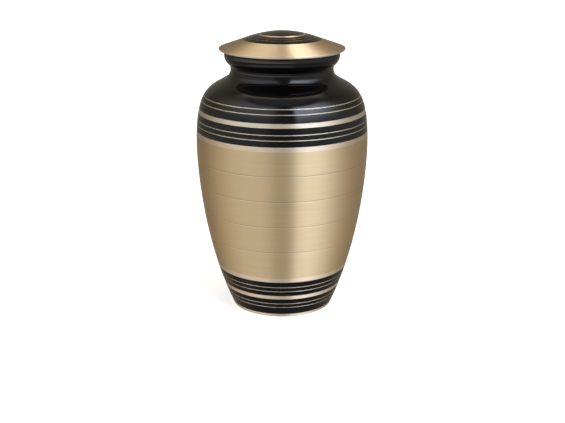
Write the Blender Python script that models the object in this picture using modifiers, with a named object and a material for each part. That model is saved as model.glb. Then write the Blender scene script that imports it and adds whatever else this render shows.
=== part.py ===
"""A turned brass urn with a lift-off lid. Metres, +Z up, origin at the centre of the underside."""
import math

import bmesh
import bpy

# Vessel outline, from the underside up
FOOT_RADIUS = 0.0459
FOOT_EDGE = 0.0007  # chamfer round the foot's lower edge
FOOT_LEAN = math.radians(24.0)  # the side's slant away from upright as it leaves the foot
BELLY_HEIGHT = 0.153  # underside to the widest ring
BELLY_RADIUS = 0.0779
SHOULDER_RISE = 0.055  # widest ring to the turn, where the shoulder starts to hollow into the neck
SHOULDER_REACH = 0.0189  # how far the side comes in over that rise
TURN_LEAN = math.radians(60.0)
NECK_RISE = 0.0127  # turn to the narrowest ring of the neck
NECK_RADIUS = 0.0462
THROAT_RISE = 0.0042  # narrowest ring to the collar
THROAT_REACH = 0.0011
THROAT_LEAN = math.radians(26.0)
COLLAR_FLARE = 0.0085  # height over which the collar flares out, above the throat
COLLAR_RIM = 0.0037  # upright run above the flare, up to the collar's top
COLLAR_REACH = 0.0045  # how far the collar stands out over the throat
COLLAR_LEAN = math.radians(58.0)
COLLAR_EDGE = 0.0004

# Vessel walls
WALL = 0.0025
FLOOR = 0.003
FLOOR_FILLET = 0.006
FOOT_RING = 0.008  # width of the ring that the urn stands on
FOOT_RECESS = 0.0015  # depth of the turned recess inside that ring

# Lid
LID_GAP = 0.0003  # lid's seat over the collar's top
LID_OVERHANG = 0.0047  # widest ring of the lid past the collar
LID_LIP_HEIGHT = 0.0015  # seat to the widest ring, over which the lip rounds in to its flat underside
LID_ROUND = 0.0009  # rounding between the widest ring and the skirt
SKIRT_RISE = 0.0072  # top of that rounding to the ring where the dome starts
DOME_RADIUS = 0.0353
DOME_RISE = 0.0071
DOME_SLOPE = math.radians(20.5)  # fall of the dome where it meets the skirt
LID_WALL = 0.0025
SPIGOT_CLEARANCE = 0.0005  # spigot to mouth, all round
SPIGOT_DEPTH = 0.012
SPIGOT_WALL = 0.0025

# Fullness of the curves: the pull at each end as a share of the curve's own rise
FOOT_PULL = 0.473
BELLY_PULL_DOWN = 0.078
BELLY_PULL_UP = 0.772
TURN_PULL_DOWN = 0.211
TURN_PULL_UP = 0.62
NECK_PULL = 0.55
ROUND_PULL = 0.5

SEGMENTS = 60
SMOOTH_ANGLE = math.radians(30.0)

BRASS = (0.62, 0.47, 0.29, 1.0)
ENAMEL = (0.006, 0.006, 0.008, 1.0)
SHOULDER_BAND_RISE = 0.0135  # widest ring to the lower edge of the black shoulder band
FOOT_BAND_LOW = 0.0031  # lower edge of the black band over the foot
FOOT_BAND_HIGH = 0.0385


def lean(angle):
    """Unit direction in (radius, height) that slants outwards from upright by angle."""
    return math.sin(angle), math.cos(angle)


def curve(start, leave, end, arrive, steps):
    """Points of a cubic curve after start, left along leave, up to end, reached along arrive."""
    near = (start[0] + leave[0], start[1] + leave[1])
    far = (end[0] - arrive[0], end[1] - arrive[1])
    points = []
    for i in range(1, steps + 1):
        t = i / steps
        shares = ((1 - t) ** 3, 3 * t * (1 - t) ** 2, 3 * t * t * (1 - t), t ** 3)
        corners = (start, near, far, end)
        points.append(tuple(sum(s * c[k] for s, c in zip(shares, corners)) for k in (0, 1)))
    return points


def scaled(direction, length):
    return direction[0] * length, direction[1] * length


def side(foot_steps, shoulder_steps, neck_steps):
    """The vessel's outer side from the foot's edge up to the narrowest ring of the neck."""
    foot = (FOOT_RADIUS, 0.0)
    belly = (BELLY_RADIUS, BELLY_HEIGHT)
    turn = (BELLY_RADIUS - SHOULDER_REACH, BELLY_HEIGHT + SHOULDER_RISE)
    neck = (NECK_RADIUS, turn[1] + NECK_RISE)
    upright = lean(0.0)
    inwards = lean(-TURN_LEAN)
    points = [foot]
    points += curve(foot, scaled(lean(FOOT_LEAN), FOOT_PULL * BELLY_HEIGHT),
                    belly, scaled(upright, BELLY_PULL_DOWN * BELLY_HEIGHT), foot_steps)
    points += curve(belly, scaled(upright, BELLY_PULL_UP * SHOULDER_RISE),
                    turn, scaled(inwards, TURN_PULL_DOWN * SHOULDER_RISE), shoulder_steps)
    points += curve(turn, scaled(inwards, TURN_PULL_UP * NECK_RISE),
                    neck, scaled(upright, NECK_PULL * NECK_RISE), neck_steps)
    return points


def inset(points, wall):
    """The line that runs wall inside an outline which climbs with the material on its left."""
    inner = []
    for i, (radius, height) in enumerate(points):
        before = points[max(i - 1, 0)]
        after = points[min(i + 1, len(points) - 1)]
        run = (after[0] - before[0], after[1] - before[1])
        length = math.hypot(*run)
        inner.append((radius - wall * run[1] / length, height + wall * run[0] / length))
    return inner


def crossing(points, k, value):
    """The point where a line first passes value, in radius (k = 0) or in height (k = 1)."""
    for a, b in zip(points, points[1:]):
        if min(a[k], b[k]) <= value <= max(a[k], b[k]) and a[k] != b[k]:
            t = (value - a[k]) / (b[k] - a[k])
            return tuple(a[j] + t * (b[j] - a[j]) for j in (0, 1))
    return points[-1]


def collar_top():
    return BELLY_HEIGHT + SHOULDER_RISE + NECK_RISE + THROAT_RISE + COLLAR_FLARE + COLLAR_RIM


def collar_radius():
    return NECK_RADIUS + THROAT_REACH + COLLAR_REACH


def mouth_radius():
    return NECK_RADIUS - WALL


def vessel_outline():
    """Floor of the chamber, up the inside, over the collar, down the outside and in under the foot."""
    floor = FOOT_RECESS + FLOOR
    inner = inset(side(7, 6, 4), WALL)
    corner = crossing(inner, 1, floor)
    above = crossing(inner, 1, floor + FLOOR_FILLET)
    outline = [(0.0, floor), (corner[0] - FLOOR_FILLET, floor)]
    outline += curve(outline[-1], (ROUND_PULL * FLOOR_FILLET, 0.0),
                     above, scaled(lean(FOOT_LEAN), ROUND_PULL * FLOOR_FILLET), 3)
    outline += [p for p in inner if p[1] > above[1] + FLOOR_FILLET / 2 and p != inner[-1]]
    outline += [(mouth_radius(), inner[-1][1]), (mouth_radius(), collar_top())]

    neck = side(1, 1, 1)[-1]
    throat = (neck[0] + THROAT_REACH, neck[1] + THROAT_RISE)
    flare = (collar_radius(), collar_top() - COLLAR_RIM)
    climb = curve(neck, scaled(lean(0.0), ROUND_PULL * THROAT_RISE),
                  throat, scaled(lean(THROAT_LEAN), ROUND_PULL * THROAT_RISE), 2)
    climb += curve(throat, scaled(lean(COLLAR_LEAN), ROUND_PULL * COLLAR_REACH),
                   flare, scaled(lean(0.0), ROUND_PULL * COLLAR_FLARE), 5)
    climb += [(collar_radius(), collar_top() - COLLAR_EDGE), (collar_radius() - COLLAR_EDGE, collar_top())]
    outline += reversed(climb)

    down = list(reversed(side(11, 9, 6)))
    edge = crossing(down, 1, FOOT_EDGE)
    outline += [p for p in down if p[1] > FOOT_EDGE] + [edge]
    outline += [(edge[0] - FOOT_EDGE, 0.0), (FOOT_RADIUS - FOOT_RING, 0.0)]
    outline += [(FOOT_RADIUS - FOOT_RING, FOOT_RECESS), (0.0, FOOT_RECESS)]
    return outline


def lid_outline():
    """Top of the dome, down the outside, under the lip, round the spigot and up inside the dome."""
    seat = collar_top() + LID_GAP
    widest = (collar_radius() + LID_OVERHANG, seat + LID_LIP_HEIGHT)
    skirt = (widest[0] - LID_ROUND, widest[1] + LID_ROUND)
    shoulder = (DOME_RADIUS, skirt[1] + SKIRT_RISE)
    apex = (0.0, shoulder[1] + DOME_RISE)
    fall = (math.cos(DOME_SLOPE), -math.sin(DOME_SLOPE))
    outer = [apex] + curve(apex, (DOME_RADIUS / 3, 0.0), shoulder, scaled(fall, DOME_RADIUS / 3), 6)
    outer += [skirt]

    outline = list(outer)
    outline += curve(skirt, scaled(fall, ROUND_PULL * LID_ROUND), widest, (0.0, -ROUND_PULL * LID_ROUND), 2)
    outline += curve(widest, (0.0, -ROUND_PULL * LID_LIP_HEIGHT),
                     (widest[0] - LID_LIP_HEIGHT, seat), (-ROUND_PULL * LID_LIP_HEIGHT, 0.0), 3)

    spigot = mouth_radius() - SPIGOT_CLEARANCE
    bore = spigot - SPIGOT_WALL
    outline += [(spigot, seat), (spigot, seat - SPIGOT_DEPTH), (bore, seat - SPIGOT_DEPTH)]
    under = inset(list(reversed(outer)), LID_WALL)
    top = crossing(under, 0, bore)
    outline += [top] + [p for p in under if p[0] < top[0] - LID_WALL and p != under[-1]]
    outline += [(0.0, apex[1] - LID_WALL)]
    return outline


def turned(name, outline, materials, collection):
    """Spins an outline about the upright axis into one closed solid."""
    mesh = bpy.data.meshes.new(name)
    ends = range(len(outline) - 1)
    mesh.from_pydata([(radius, 0.0, height) for radius, height in outline], [(i, i + 1) for i in ends], [])
    part = bpy.data.objects.new(name, mesh)
    collection.objects.link(part)
    screw = part.modifiers.new("turning", "SCREW")
    screw.axis = "Z"
    screw.steps = SEGMENTS
    screw.render_steps = SEGMENTS
    screw.use_merge_vertices = True
    screw.merge_threshold = 0.00001
    spun = bpy.data.meshes.new_from_object(part.evaluated_get(bpy.context.evaluated_depsgraph_get()))
    part.modifiers.clear()
    part.data = spun
    bpy.data.meshes.remove(mesh)
    spun.name = name
    spun.materials.clear()
    for material in materials:
        spun.materials.append(material)
    spun.shade_smooth()
    spun.set_sharp_from_angle(angle=SMOOTH_ANGLE)
    return part


def finish(name, colour, metallic, roughness):
    material = bpy.data.materials.new(name)
    material.use_nodes = True
    shader = material.node_tree.nodes["Principled BSDF"]
    shader.inputs["Base Color"].default_value = colour
    shader.inputs["Metallic"].default_value = metallic
    shader.inputs["Roughness"].default_value = roughness
    material.diffuse_color = colour
    return material


def enamel_faces(part, covered):
    """Gives the outside faces whose middle passes the test the second material."""
    shape = bmesh.new()
    shape.from_mesh(part.data)
    for face in shape.faces:
        middle = face.calc_center_median()
        radius = math.hypot(middle.x, middle.y)
        outside = face.normal.x * middle.x + face.normal.y * middle.y + face.normal.z * radius > 0
        if outside and covered(radius, middle.z):
            face.material_index = 1
    shape.to_mesh(part.data)
    shape.free()


def build():
    for thing in list(bpy.data.objects):
        bpy.data.objects.remove(thing, do_unlink=True)
    urn = bpy.data.collections.new("urn")
    bpy.context.scene.collection.children.link(urn)
    vessel = turned("urn_body", vessel_outline(), (finish("brass", BRASS, 1.0, 0.3),
                                                   finish("black_enamel", ENAMEL, 0.0, 0.08)), urn)
    enamel_faces(vessel, lambda radius, height: height > BELLY_HEIGHT + SHOULDER_BAND_RISE
                 or FOOT_BAND_LOW < height < FOOT_BAND_HIGH)
    lid = turned("lid", lid_outline(), (finish("lid_brass", BRASS, 1.0, 0.3),
                                        finish("lid_enamel", ENAMEL, 0.0, 0.08)), urn)
    seat = collar_top() + LID_GAP
    enamel_faces(lid, lambda radius, height: radius < DOME_RADIUS and height > seat + LID_LIP_HEIGHT)


build()
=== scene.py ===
import math

import bpy
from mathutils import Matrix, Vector


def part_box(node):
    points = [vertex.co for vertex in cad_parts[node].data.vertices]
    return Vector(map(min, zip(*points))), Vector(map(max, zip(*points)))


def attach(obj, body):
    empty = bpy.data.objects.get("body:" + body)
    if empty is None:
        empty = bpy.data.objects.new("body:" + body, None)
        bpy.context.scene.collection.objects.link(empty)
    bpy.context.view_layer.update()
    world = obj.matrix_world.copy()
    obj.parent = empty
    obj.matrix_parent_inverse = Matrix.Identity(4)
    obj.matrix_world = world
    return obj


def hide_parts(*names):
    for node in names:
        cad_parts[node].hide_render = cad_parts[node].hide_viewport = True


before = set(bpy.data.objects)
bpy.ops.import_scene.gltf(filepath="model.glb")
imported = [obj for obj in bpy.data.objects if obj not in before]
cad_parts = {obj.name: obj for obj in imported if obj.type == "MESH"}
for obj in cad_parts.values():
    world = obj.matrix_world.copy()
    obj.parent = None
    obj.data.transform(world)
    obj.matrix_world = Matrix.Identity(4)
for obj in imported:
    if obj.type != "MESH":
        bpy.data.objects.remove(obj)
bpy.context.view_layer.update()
bpy.ops.object.select_all(action="DESELECT")

# Brass vessel: a hollow casting, turned on a lathe inside and out, with its foot, belly, shoulder, neck and
# collar in one. Its middle is brushed round the axis and scored with four fine lines, and the margins beside
# the enamel are left as the turning tool cut them, and paler. Each score's upper wall is painted darker as
# shade, and its lower wall paler as a highlight.
_, (BELLY_RADIUS, _, COLLAR_TOP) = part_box("urn_body")
WALL = 0.0025
FOOT_RADIUS = 0.0459
FOOT_LEAN = math.radians(24)
FOOT_ROUND = 0.0007
FOOT_RING = 0.008
FOOT_RECESS = 0.0015
FLOOR = 0.0045
FLOOR_FILLET = 0.006
INNER_FOOT = Vector((0.0477, FLOOR + FLOOR_FILLET))
INNER_LEAN = math.radians(22.1)
INNER_FOOT_PULL = 0.441
INNER_BELLY_PULL = 0.083
BELLY_HEIGHT = 0.153
TURN = Vector((0.059, 0.208))
TURN_LEAN = math.radians(-60)
NECK = Vector((0.0462, 0.2207))
THROAT = Vector((0.0473, 0.2249))
THROAT_LEAN = math.radians(26)
FOOT_PULL = 0.473
BELLY_PULL_DOWN = 0.078
BELLY_PULL_UP = 0.772
TURN_PULL_DOWN = 0.211
TURN_PULL_UP = 0.62
NECK_PULL = 0.55
ROUND_PULL = 0.5
COLLAR_RADIUS = 0.0518
COLLAR_LEAN = math.radians(58)
COLLAR_RIM = 0.0037
COLLAR_ROUND = 0.0004
MOUTH_ROUND = 0.0003
FOOT_BAND = (0.0031, 0.0385)
SHOULDER_BAND = (0.1665, COLLAR_TOP)
THIN = 0.0007
WIDE = 0.0039
RINGS = [(0.1976, THIN), (0.1932, THIN), (0.18435, WIDE), (0.1766, THIN), (0.1720, THIN),
         (0.03295, THIN), (0.0285, THIN), (0.02185, WIDE), (0.01485, THIN), (0.0108, THIN)]
MARGIN = 0.0043
SCORE = 0.001
SCORE_DEPTH = 0.00012
SCORES = (0.1406, 0.1177, 0.0938, 0.0691)
TURNS = 240
CURVE_STEPS = 20
STRAIGHT = math.radians(0.05)
CREASE = math.radians(30)
MERGE = 0.000001


def lean(angle, pull):
    """A tangent in (radius, height) that leans outwards from upright by angle."""
    return Vector((math.sin(angle), math.cos(angle))) * pull


def drawn(name, knots, normal=(0, 0, 1), cuts=()):
    """Draws an outline as a Bezier curve, makes it a mesh, and adds a point wherever a cut crosses it.

    A knot is its place and the tangents that reach and leave it, where None is a straight run.
    """
    bpy.ops.curve.primitive_bezier_curve_add(location=(0, 0, 0))
    line = bpy.context.object
    line.name = name
    line.data.resolution_u = CURVE_STEPS
    points = line.data.splines[0].bezier_points
    points.add(len(knots) - len(points))
    for point, (place, reach, leave) in zip(points, knots):
        point.co = (place[0], 0, place[1])
        point.handle_left_type = "FREE" if reach else "VECTOR"
        point.handle_right_type = "FREE" if leave else "VECTOR"
        if reach:
            point.handle_left = (place[0] - reach[0], 0, place[1] - reach[1])
        if leave:
            point.handle_right = (place[0] + leave[0], 0, place[1] + leave[1])
    bpy.ops.object.convert(target="MESH")
    bpy.ops.object.mode_set(mode="EDIT")
    bpy.ops.mesh.select_all(action="SELECT")
    bpy.ops.mesh.dissolve_limited(angle_limit=STRAIGHT)
    for cut in cuts:
        bpy.ops.mesh.select_all(action="SELECT")
        bpy.ops.mesh.bisect(plane_co=Vector(normal) * cut, plane_no=normal)
    bpy.ops.object.mode_set(mode="OBJECT")
    return line


def spun(name, *lines):
    """Joins outlines end to end and spins them about the upright axis into one closed skin."""
    for line in lines:
        line.select_set(True)
    bpy.context.view_layer.objects.active = lines[0]
    bpy.ops.object.join()
    skin = bpy.context.object
    skin.name = name
    bpy.ops.object.mode_set(mode="EDIT")
    bpy.ops.mesh.select_all(action="SELECT")
    bpy.ops.mesh.remove_doubles(threshold=MERGE)
    bpy.ops.mesh.spin(steps=TURNS, angle=2 * math.pi, center=(0, 0, 0), axis=(0, 0, 1))
    bpy.ops.mesh.select_all(action="SELECT")
    bpy.ops.mesh.remove_doubles(threshold=MERGE)
    bpy.ops.mesh.normals_make_consistent(inside=False)
    bpy.ops.object.mode_set(mode="OBJECT")
    return skin


def facing(face):
    """A face's radius and height, and how far it faces outwards and upwards."""
    radius = math.hypot(face.center.x, face.center.y)
    outwards = (face.normal.x * face.center.x + face.normal.y * face.center.y) / radius
    return radius, face.center.z, outwards, face.normal.z


def pick(skin, test):
    """Selects, in edit mode, the faces of a skin whose place and facing pass the test."""
    bpy.ops.object.select_all(action="DESELECT")
    skin.select_set(True)
    bpy.context.view_layer.objects.active = skin
    bpy.ops.object.mode_set(mode="EDIT")
    bpy.context.tool_settings.mesh_select_mode = (False, False, True)
    bpy.ops.mesh.select_all(action="DESELECT")
    bpy.ops.object.mode_set(mode="OBJECT")
    for face in skin.data.polygons:
        face.select = test(*facing(face))
    bpy.ops.object.mode_set(mode="EDIT")


def smoothed(piece):
    """Shades a piece smooth and leaves it sharp at its creases."""
    bpy.ops.object.select_all(action="DESELECT")
    piece.select_set(True)
    bpy.context.view_layer.objects.active = piece
    bpy.ops.object.shade_smooth_by_angle(angle=CREASE)


foot_edge = FOOT_RADIUS + math.tan(FOOT_LEAN) * FOOT_ROUND
shoulder_rise = TURN.y - BELLY_HEIGHT
neck_rise = NECK.y - TURN.y
throat_rise = THROAT.y - NECK.y
collar_reach = COLLAR_RADIUS - THROAT.x
flare = COLLAR_TOP - COLLAR_RIM
edges = [height + side * width / 2 for height, width in RINGS for side in (-1, 1)]
edges += [height + side * SCORE / 2 for height in SCORES for side in (-1, 0, 1)]
edges += [FOOT_BAND[0], FOOT_BAND[1], FOOT_BAND[1] + MARGIN, SHOULDER_BAND[0] - MARGIN, SHOULDER_BAND[0]]
outside = drawn("vessel_outside", [
    ((0, FOOT_RECESS), None, None),
    ((FOOT_RADIUS - FOOT_RING, FOOT_RECESS), None, None),
    ((FOOT_RADIUS - FOOT_RING, 0), None, None),
    ((foot_edge - FOOT_ROUND, 0), None, (ROUND_PULL * FOOT_ROUND, 0)),
    ((foot_edge, FOOT_ROUND), lean(FOOT_LEAN, ROUND_PULL * FOOT_ROUND),
     lean(FOOT_LEAN, FOOT_PULL * BELLY_HEIGHT)),
    ((BELLY_RADIUS, BELLY_HEIGHT), lean(0, BELLY_PULL_DOWN * BELLY_HEIGHT),
     lean(0, BELLY_PULL_UP * shoulder_rise)),
    (TURN, lean(TURN_LEAN, TURN_PULL_DOWN * shoulder_rise), lean(TURN_LEAN, TURN_PULL_UP * neck_rise)),
    (NECK, lean(0, NECK_PULL * neck_rise), lean(0, ROUND_PULL * throat_rise)),
    (THROAT, lean(THROAT_LEAN, ROUND_PULL * throat_rise), lean(COLLAR_LEAN, ROUND_PULL * collar_reach)),
    ((COLLAR_RADIUS, flare), lean(0, ROUND_PULL * (flare - THROAT.y)), None),
    ((COLLAR_RADIUS, COLLAR_TOP - COLLAR_ROUND), None, lean(0, ROUND_PULL * COLLAR_ROUND)),
    ((COLLAR_RADIUS - COLLAR_ROUND, COLLAR_TOP), (-ROUND_PULL * COLLAR_ROUND, 0), None),
    ((NECK.x - WALL + MOUTH_ROUND, COLLAR_TOP), None, None),
], cuts=edges)

inner_turn = TURN - WALL * Vector((math.cos(TURN_LEAN), -math.sin(TURN_LEAN)))
inner_rise = inner_turn.y - BELLY_HEIGHT
inner_neck = NECK.y - inner_turn.y
inner_floor = INNER_FOOT.x - (1 + math.tan(INNER_LEAN)) * FLOOR_FILLET
down = math.pi
down_turn = down + TURN_LEAN
down_foot = down + INNER_LEAN
inside = drawn("vessel_inside", [
    ((NECK.x - WALL + MOUTH_ROUND, COLLAR_TOP), None, None),
    ((NECK.x - WALL, COLLAR_TOP - MOUTH_ROUND), None, None),
    ((NECK.x - WALL, NECK.y), None, lean(down, NECK_PULL * inner_neck)),
    (inner_turn, lean(down_turn, TURN_PULL_UP * inner_neck), lean(down_turn, TURN_PULL_DOWN * inner_rise)),
    ((BELLY_RADIUS - WALL, BELLY_HEIGHT), lean(down, BELLY_PULL_UP * inner_rise),
     lean(down, INNER_BELLY_PULL * BELLY_HEIGHT)),
    (INNER_FOOT, lean(down_foot, INNER_FOOT_PULL * BELLY_HEIGHT),
     lean(down_foot, ROUND_PULL * FLOOR_FILLET)),
    ((inner_floor, FLOOR), (-ROUND_PULL * FLOOR_FILLET, 0), None),
    ((0, FLOOR), None, None),
])
vessel = spun("brass_vessel", outside, inside)


def between(low, high):
    """A test for faces on the outside, from low to high."""
    return lambda radius, height, outwards, upwards: outwards > 0.05 and low < height < high


for score in SCORES:
    pick(vessel, between(score - SCORE / 2, score + SCORE / 2))
    bpy.ops.mesh.inset(thickness=SCORE / 3, depth=-SCORE_DEPTH, use_even_offset=False)
    bpy.ops.object.mode_set(mode="OBJECT")


class Wire:
    """A shader socket that takes part in sums. Each sum adds one Math node."""

    def __init__(self, socket):
        self.socket = socket

    @classmethod
    def node(cls, tree, kind, settings, inputs):
        """Adds a node, sets it, feeds its sockets by place or by name, and returns its outputs as wires."""
        node = tree.nodes.new(kind)
        for name, value in settings.items():
            setattr(node, name, value)
        for key, value in inputs.items() if isinstance(inputs, dict) else enumerate(inputs):
            if isinstance(value, cls):
                tree.links.new(value.socket, node.inputs[key])
            else:
                node.inputs[key].default_value = value
        return [cls(socket) for socket in node.outputs]

    def feed(self, socket):
        self.socket.id_data.links.new(self.socket, socket)

    def math(self, operation, *terms):
        return Wire.node(self.socket.id_data, "ShaderNodeMath", {"operation": operation}, terms)[0]

    def __add__(self, other):
        return self.math("ADD", self, other)

    def __mul__(self, other):
        return self.math("MULTIPLY", self, other)

    def __sub__(self, other):
        return self.math("SUBTRACT", self, other)

    def __rsub__(self, other):
        return self.math("SUBTRACT", other, self)

    def __pow__(self, other):
        return self.math("POWER", self, other)

    __radd__ = __add__
    __rmul__ = __mul__


def finish(name, **constants):
    """A new material with these constants on its Principled shader, with its node tree and that shader."""
    material = bpy.data.materials.new(name)
    material.use_nodes = True
    shader = material.node_tree.nodes["Principled BSDF"]
    for socket, value in constants.items():
        shader.inputs[socket.replace("_", " ")].default_value = value
    return material, material.node_tree, shader


def round_the_axis(tree, length, pitch):
    """Noise drawn out round the axis, as a tool or a brush leaves it: length along a mark, pitch across."""
    place = Wire.node(tree, "ShaderNodeTexCoord", {}, {})[3]
    x, y, z = Wire.node(tree, "ShaderNodeSeparateXYZ", {}, [place])
    across = (x * x + y * y) ** 0.5 - z
    parts = [x * (1 / length), y * (1 / length), across * (1 / pitch)]
    drawn_out = Wire.node(tree, "ShaderNodeCombineXYZ", {}, parts)[0]
    return Wire.node(tree, "ShaderNodeTexNoise", {}, {"Vector": drawn_out, "Scale": 1.0, "Detail": 2.0})[0]


FINE_MARK = (0.05, 0.0009)
BROAD_MARK = (0.15, 0.004)


def brass(name, dark, pale, roughness, spread, grain, anisotropy):
    """Brass worked round the axis on a lathe or with a brush, so that its shine is drawn out up and down."""
    material, tree, shader = finish(name, Metallic=0.92, Anisotropic=anisotropy, Anisotropic_Rotation=0.25)
    fine = round_the_axis(tree, *FINE_MARK)
    broad = round_the_axis(tree, *BROAD_MARK)
    tones = {0: fine * 0.75 + broad * 0.25, 6: (*dark, 1.0), 7: (*pale, 1.0)}
    Wire.node(tree, "ShaderNodeMix", {"data_type": "RGBA"}, tones)[2].feed(shader.inputs["Base Color"])
    ((fine - 0.5) * spread + roughness).feed(shader.inputs["Roughness"])
    bump = Wire.node(tree, "ShaderNodeBump", {}, {"Strength": 1.0, "Distance": grain, "Height": fine})[0]
    bump.feed(shader.inputs["Normal"])
    return material


BRUSHED = {"roughness": 0.55, "spread": 0.06, "grain": 0.000008, "anisotropy": 1.0}
TURNED = {"roughness": 0.55, "spread": 0.06, "grain": 0.000006, "anisotropy": 1.0}
BRIGHT = {"roughness": 0.55, "spread": 0.06, "grain": 0.000004, "anisotropy": 1.0}
ROUGH = {"roughness": 0.5, "spread": 0.12, "grain": 0.00002, "anisotropy": 0.3}
brushed = brass("brushed_brass", (0.77, 0.585, 0.35), (0.92, 0.72, 0.455), **BRUSHED)
# Paler turned brass: the margins' own finish, and also a painted highlight on the lower walls of the scores.
turned_and_highlight = brass("turned_brass_and_painted_highlight", (0.93, 0.77, 0.59), (1.0, 0.85, 0.68), **TURNED)
# Paler bright brass: the bright-cut rings' own finish, and also a painted highlight along the lid's lip.
bright_cut_and_highlight = brass("bright_brass_and_painted_highlight", (0.96, 0.86, 0.68), (1.0, 0.92, 0.77), **BRIGHT)
# Dark dull brass: the raw inside of vessel and lid, and also painted shade on the upper walls of the scores.
dull_and_shade = brass("dull_brass_and_painted_shade", (0.34, 0.24, 0.13), (0.46, 0.34, 0.20), **ROUGH)


def on_wall(climb):
    """Whether a height above the middle of a score is on the score's upper wall."""
    return SCORE / 6 < climb < SCORE / 2


vessel_finishes = (brushed, turned_and_highlight, bright_cut_and_highlight, dull_and_shade)
for material in vessel_finishes:
    vessel.data.materials.append(material)
for face in vessel.data.polygons:
    radius, height, outwards, upwards = facing(face)
    banded = height > SHOULDER_BAND[0]
    margin = not FOOT_BAND[1] + MARGIN < height < SHOULDER_BAND[0] - MARGIN
    # Painted shade: the upper wall of each score is given the dark dull brass.
    shaded = any(on_wall(height - score) for score in SCORES)
    # Painted highlight: the lower wall of each score is given the paler turned brass.
    lit = any(on_wall(score - height) for score in SCORES)
    within = height > FOOT_RECESS and (outwards < 0 or upwards > 0.9) and height < COLLAR_TOP - MOUTH_ROUND
    metal = dull_and_shade if within or shaded else bright_cut_and_highlight if banded else turned_and_highlight if margin or lit else brushed
    face.material_index = vessel_finishes.index(metal)
smoothed(vessel)
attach(vessel, "root")
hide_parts("urn_body")

# Enamel on the shoulder and over the foot: black, baked, a fraction of a millimetre thick and polished to
# a high gloss. Each band has five rings turned through it, down to the brass: two thin, one wide, two thin.
FILM = 0.00015
KEY = 0.1


def lay_enamel(skin, name, covered, ringed):
    """Lifts the covered faces off as a film that finishes flush with the skin, and cuts rings through it.

    The skin sinks under the film, which keys into it by a share KEY of its own thickness.
    """
    pick(skin, covered)
    bpy.ops.mesh.duplicate()
    bpy.ops.mesh.separate(type="SELECTED")
    bpy.ops.object.mode_set(mode="OBJECT")
    film = next(piece for piece in bpy.context.selected_objects if piece != skin)
    film.name = name
    film.data.materials.clear()
    pick(film, ringed)
    bpy.ops.mesh.delete(type="FACE")
    bpy.ops.object.mode_set(mode="OBJECT")
    coat = film.modifiers.new("coat", "SOLIDIFY")
    coat.thickness = FILM * (1 + KEY)
    coat.offset = -1
    coat.use_even_offset = True
    bpy.ops.object.modifier_apply(modifier=coat.name)
    pick(skin, covered)
    bpy.ops.mesh.inset(thickness=FILM * KEY, depth=-FILM, use_even_offset=False)
    bpy.ops.object.mode_set(mode="OBJECT")
    smoothed(skin)
    return film


def in_rings(radius, height, outwards, upwards):
    return any(abs(height - ring) < width / 2 for ring, width in RINGS)


gloss, tree, shader = finish("black_enamel", Specular_IOR_Level=0.38, Specular_Tint=(0.94, 0.95, 1.0, 1.0))
place = Wire.node(tree, "ShaderNodeTexCoord", {}, {})[3]
cloud = Wire.node(tree, "ShaderNodeTexNoise", {}, {"Vector": place, "Scale": 60.0, "Detail": 3.0})[0]
peel = Wire.node(tree, "ShaderNodeTexNoise", {}, {"Vector": place, "Scale": 400.0, "Detail": 1.0})[0]
blacks = {0: cloud, 6: (0.0008, 0.0008, 0.0010, 1.0), 7: (0.0014, 0.0013, 0.0016, 1.0)}
Wire.node(tree, "ShaderNodeMix", {"data_type": "RGBA"}, blacks)[2].feed(shader.inputs["Base Color"])
(cloud * 0.03 + 0.05).feed(shader.inputs["Roughness"])
bump = Wire.node(tree, "ShaderNodeBump", {}, {"Strength": 1.0, "Distance": 0.000003, "Height": peel})[0]
bump.feed(shader.inputs["Normal"])

for name, band in (("shoulder_enamel", SHOULDER_BAND), ("foot_enamel", FOOT_BAND)):
    film = lay_enamel(vessel, name, between(*band), in_rings)
    film.data.materials.append(gloss)
    smoothed(film)
    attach(film, "root")

# Lid: a turned brass cap that lifts off, with a low dome, a conical skirt, a rounded lip, and a spigot that
# drops into the mouth. The skirt is brushed round the axis, and the underside is left as it was turned. The
# rounded lip is painted paler, as a highlight along its edge.
(_, _, SPIGOT_LOW), (LID_RADIUS, _, APEX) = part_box("lid")
SEAT_GAP = 0.0003
SEAT = COLLAR_TOP + SEAT_GAP
LIP_HEIGHT = 0.0015
LID_ROUND = 0.0009
DOME = Vector((0.0353, APEX - 0.0071))
DOME_SLOPE = math.radians(20.5)
SPIGOT_GAP = 0.0005
SPIGOT_RADIUS = NECK.x - WALL - SPIGOT_GAP
SPIGOT_WALL = 0.0025
SPIGOT_ROUND = 0.0004
LID_WALL = 0.0025
LID_THIN = 0.0005
LID_RINGS = [(0.0206, 0.0028), (0.0258, LID_THIN), (0.0298, LID_THIN)]

fall = Vector((math.cos(DOME_SLOPE), -math.sin(DOME_SLOPE)))
widest = Vector((LID_RADIUS, SEAT + LIP_HEIGHT))
lid_top = drawn("lid_top", [
    ((0, APEX), None, (DOME.x / 3, 0)),
    (DOME, fall * DOME.x / 3, None),
    (widest + Vector((-LID_ROUND, LID_ROUND)), None, fall * ROUND_PULL * LID_ROUND),
    (widest, (0, -ROUND_PULL * LID_ROUND), (0, -ROUND_PULL * LIP_HEIGHT)),
    ((LID_RADIUS - LIP_HEIGHT, SEAT), (-ROUND_PULL * LIP_HEIGHT, 0), None),
    ((SPIGOT_RADIUS, SEAT), None, None),
], normal=(1, 0, 0), cuts=[ring + side * width / 2 for ring, width in LID_RINGS for side in (-1, 1)])
bore = SPIGOT_RADIUS - SPIGOT_WALL
under = DOME - LID_WALL * Vector((math.sin(DOME_SLOPE), math.cos(DOME_SLOPE)))
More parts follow.
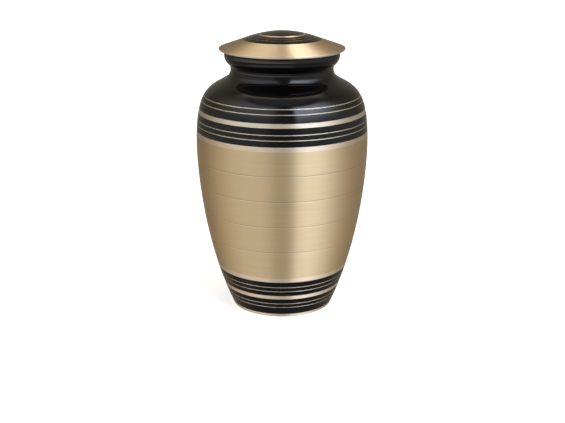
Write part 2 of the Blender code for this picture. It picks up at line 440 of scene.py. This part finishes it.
lid_under = drawn("lid_under", [
    ((SPIGOT_RADIUS, SEAT), None, None),
    ((SPIGOT_RADIUS, SPIGOT_LOW + SPIGOT_ROUND), None, None),
    ((SPIGOT_RADIUS - SPIGOT_ROUND, SPIGOT_LOW), None, None),
    ((bore + SPIGOT_ROUND, SPIGOT_LOW), None, None),
    ((bore, SPIGOT_LOW + SPIGOT_ROUND), None, None),
    ((bore, under.y - (bore - under.x) * math.tan(DOME_SLOPE)), None, None),
    (under, None, -fall * under.x / 3),
    ((0, APEX - LID_WALL), (-under.x / 3, 0), None),
])
lid = spun("brass_lid", lid_top, lid_under)
lid_finishes = (brushed, dull_and_shade, bright_cut_and_highlight)
for material in lid_finishes:
    lid.data.materials.append(material)
for face in lid.data.polygons:
    radius, height, outwards, upwards = facing(face)
    below = upwards < -0.5 and radius < bore or radius < SPIGOT_RADIUS + MERGE and height < SEAT
    # Painted highlight: the rounded lip is given the paler bright brass.
    lip = radius > LID_RADIUS - LID_ROUND and abs(upwards) < 0.8
    face.material_index = lid_finishes.index(dull_and_shade if below else bright_cut_and_highlight if lip else brushed)
smoothed(lid)
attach(lid, "root")
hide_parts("lid")

# Enamel on the lid's dome: the same black film as on the vessel, with a wide ring and two fine ones turned
# through it down to the brass.


def on_dome(radius, height, outwards, upwards):
    return radius < DOME.x and upwards > 0.5 and height > DOME.y


def in_lid_rings(radius, height, outwards, upwards):
    return any(abs(radius - ring) < width / 2 for ring, width in LID_RINGS)


lid_enamel = lay_enamel(lid, "lid_enamel", on_dome, in_lid_rings)
lid_enamel.data.materials.append(gloss)
smoothed(lid_enamel)
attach(lid_enamel, "root")

# Stage: a plain pale floor, soft studio light and the camera. The light is a large soft box to the right,
# a dimmer one to the left, one behind, a pale ceiling, and the glow of the table in front of the urn.
FLOOR_SIZE = 12.0
FLOOR_GAP = 0.0002
FLOOR_GLOW = 0.55
CAMERA_PLACE = (0.00036, -0.9427, 0.3790)
CAMERA_PITCH = math.radians(17.24)
CAMERA_LENS = 67.46
FLANK = 0.44
LEFT_BOX = 0.95
COOL_FILL = 0.14
RIGHT_BOX = 5.1
BACK_BOX = 1.35
CEILING = 0.3
TABLE = 1.0
TABLE_EDGE = 1.8
TABLE_SHADE = 0.85
WARM_FILL = 0.13
COOL = (0.94, 1.0, 1.06, 1.0)
AMBER = (1.0, 0.87, 0.68, 1.0)
DAYLIGHT = (0.92, 1.0, 1.17)
LAMPLIGHT = (1.0, 0.90, 0.77)
WHITE = (1.0, 1.0, 1.0, 1.0)

bpy.ops.mesh.primitive_plane_add(size=FLOOR_SIZE, location=(0, 0, -FLOOR_GAP))
floor = bpy.context.object
floor.name = "floor"
floor.visible_glossy = False
pale = {"Base_Color": (0.80, 0.80, 0.80, 1.0), "Roughness": 0.9, "Specular_IOR_Level": 0.0}
paper, tree, shader = finish("pale_paper", Emission_Strength=1.0, **pale)
seen = Wire.node(tree, "ShaderNodeLightPath", {}, {})[0]
(seen * FLOOR_GLOW).feed(shader.inputs["Emission Color"])
floor.data.materials.append(paper)

world = bpy.data.worlds.new("studio")
world.use_nodes = True
sky = world.node_tree
x, y, z = Wire.node(sky, "ShaderNodeSeparateXYZ", {}, [Wire.node(sky, "ShaderNodeTexCoord", {}, {})[0]])
around = x.math("ARCTAN2", x, y * -1) * math.degrees(1)
rise = z.math("ARCSINE", z) * math.degrees(1)


def ramp(angle, start, end):
    """Rises smoothly from 0 at start to 1 at end, in degrees."""
    ends = {"Value": angle, "From Min": start, "From Max": end}
    return Wire.node(sky, "ShaderNodeMapRange", {"interpolation_type": "SMOOTHSTEP"}, ends)[0]


def glow(level, colour):
    """Light of this colour, as strong as level."""
    return Wire.node(sky, "ShaderNodeVectorMath", {"operation": "SCALE"}, {0: colour, "Scale": level})[0]


aside = around.math("ABSOLUTE", around)
left = around * -1
dip = rise * -1
under_ceiling = 1 - ramp(rise, 54, 66)
flank = ramp(aside, 8, 30) * (1 - ramp(aside, 75, 135)) * ramp(rise, -30, 0) * under_ceiling
left_box = ramp(left, 0, 20) * (1 - ramp(left, 60, 150)) * ramp(rise, 12, 38) * under_ceiling
right_across = ramp(around, 16, 24) * (1 - ramp(around, 42, 110))
right_box = right_across * ramp(rise, 10, 40) * (1 - ramp(rise, 50, 62))
back_box = ramp(rise, 48, 60) * (1 - ramp(rise, 76, 86)) * ramp(aside, 110, 150)
ceiling = ramp(rise, 60, 72)
table = ramp(dip, 26, 36) * (1 - ramp(dip, 44, 54)) * (1 - ramp(aside, 40, 110))
table_edge = ramp(dip, 8, 10) * (1 - ramp(dip, 13, 16)) * (1 - ramp(aside, 50, 130))
table_glow = (table * TABLE + table_edge * TABLE_EDGE) * (1 - ramp(around, 5, 35) * TABLE_SHADE)
sides = flank * FLANK + left_box * LEFT_BOX + COOL_FILL
warm = back_box * BACK_BOX + ceiling * CEILING + table_glow + WARM_FILL
tints = {0: ramp(aside, 55, 120), 6: COOL, 7: AMBER}
tint = Wire.node(sky, "ShaderNodeMix", {"data_type": "RGBA"}, tints)[2]
lights = [glow(sides, tint), glow(right_box * RIGHT_BOX, DAYLIGHT), glow(warm, LAMPLIGHT)]
light = Wire.node(sky, "ShaderNodeVectorMath", {"operation": "ADD"}, lights[:2])[0]
light = Wire.node(sky, "ShaderNodeVectorMath", {"operation": "ADD"}, [light, lights[2]])[0]
seen = Wire.node(sky, "ShaderNodeLightPath", {}, {})[0]
shown = Wire.node(sky, "ShaderNodeMix", {"data_type": "RGBA"}, {0: seen, 6: light, 7: WHITE})[2]
shown.feed(sky.nodes["Background"].inputs["Color"])
bpy.context.scene.world = world
bpy.context.scene.view_settings.view_transform = "Standard"

view = bpy.data.cameras.new("camera")
view.lens = CAMERA_LENS
view.sensor_width = 36.0
camera = bpy.data.objects.new("camera", view)
camera.location = CAMERA_PLACE
camera.rotation_euler = (math.pi / 2 - CAMERA_PITCH, 0, 0)
bpy.context.scene.collection.objects.link(camera)
bpy.context.scene.camera = camera
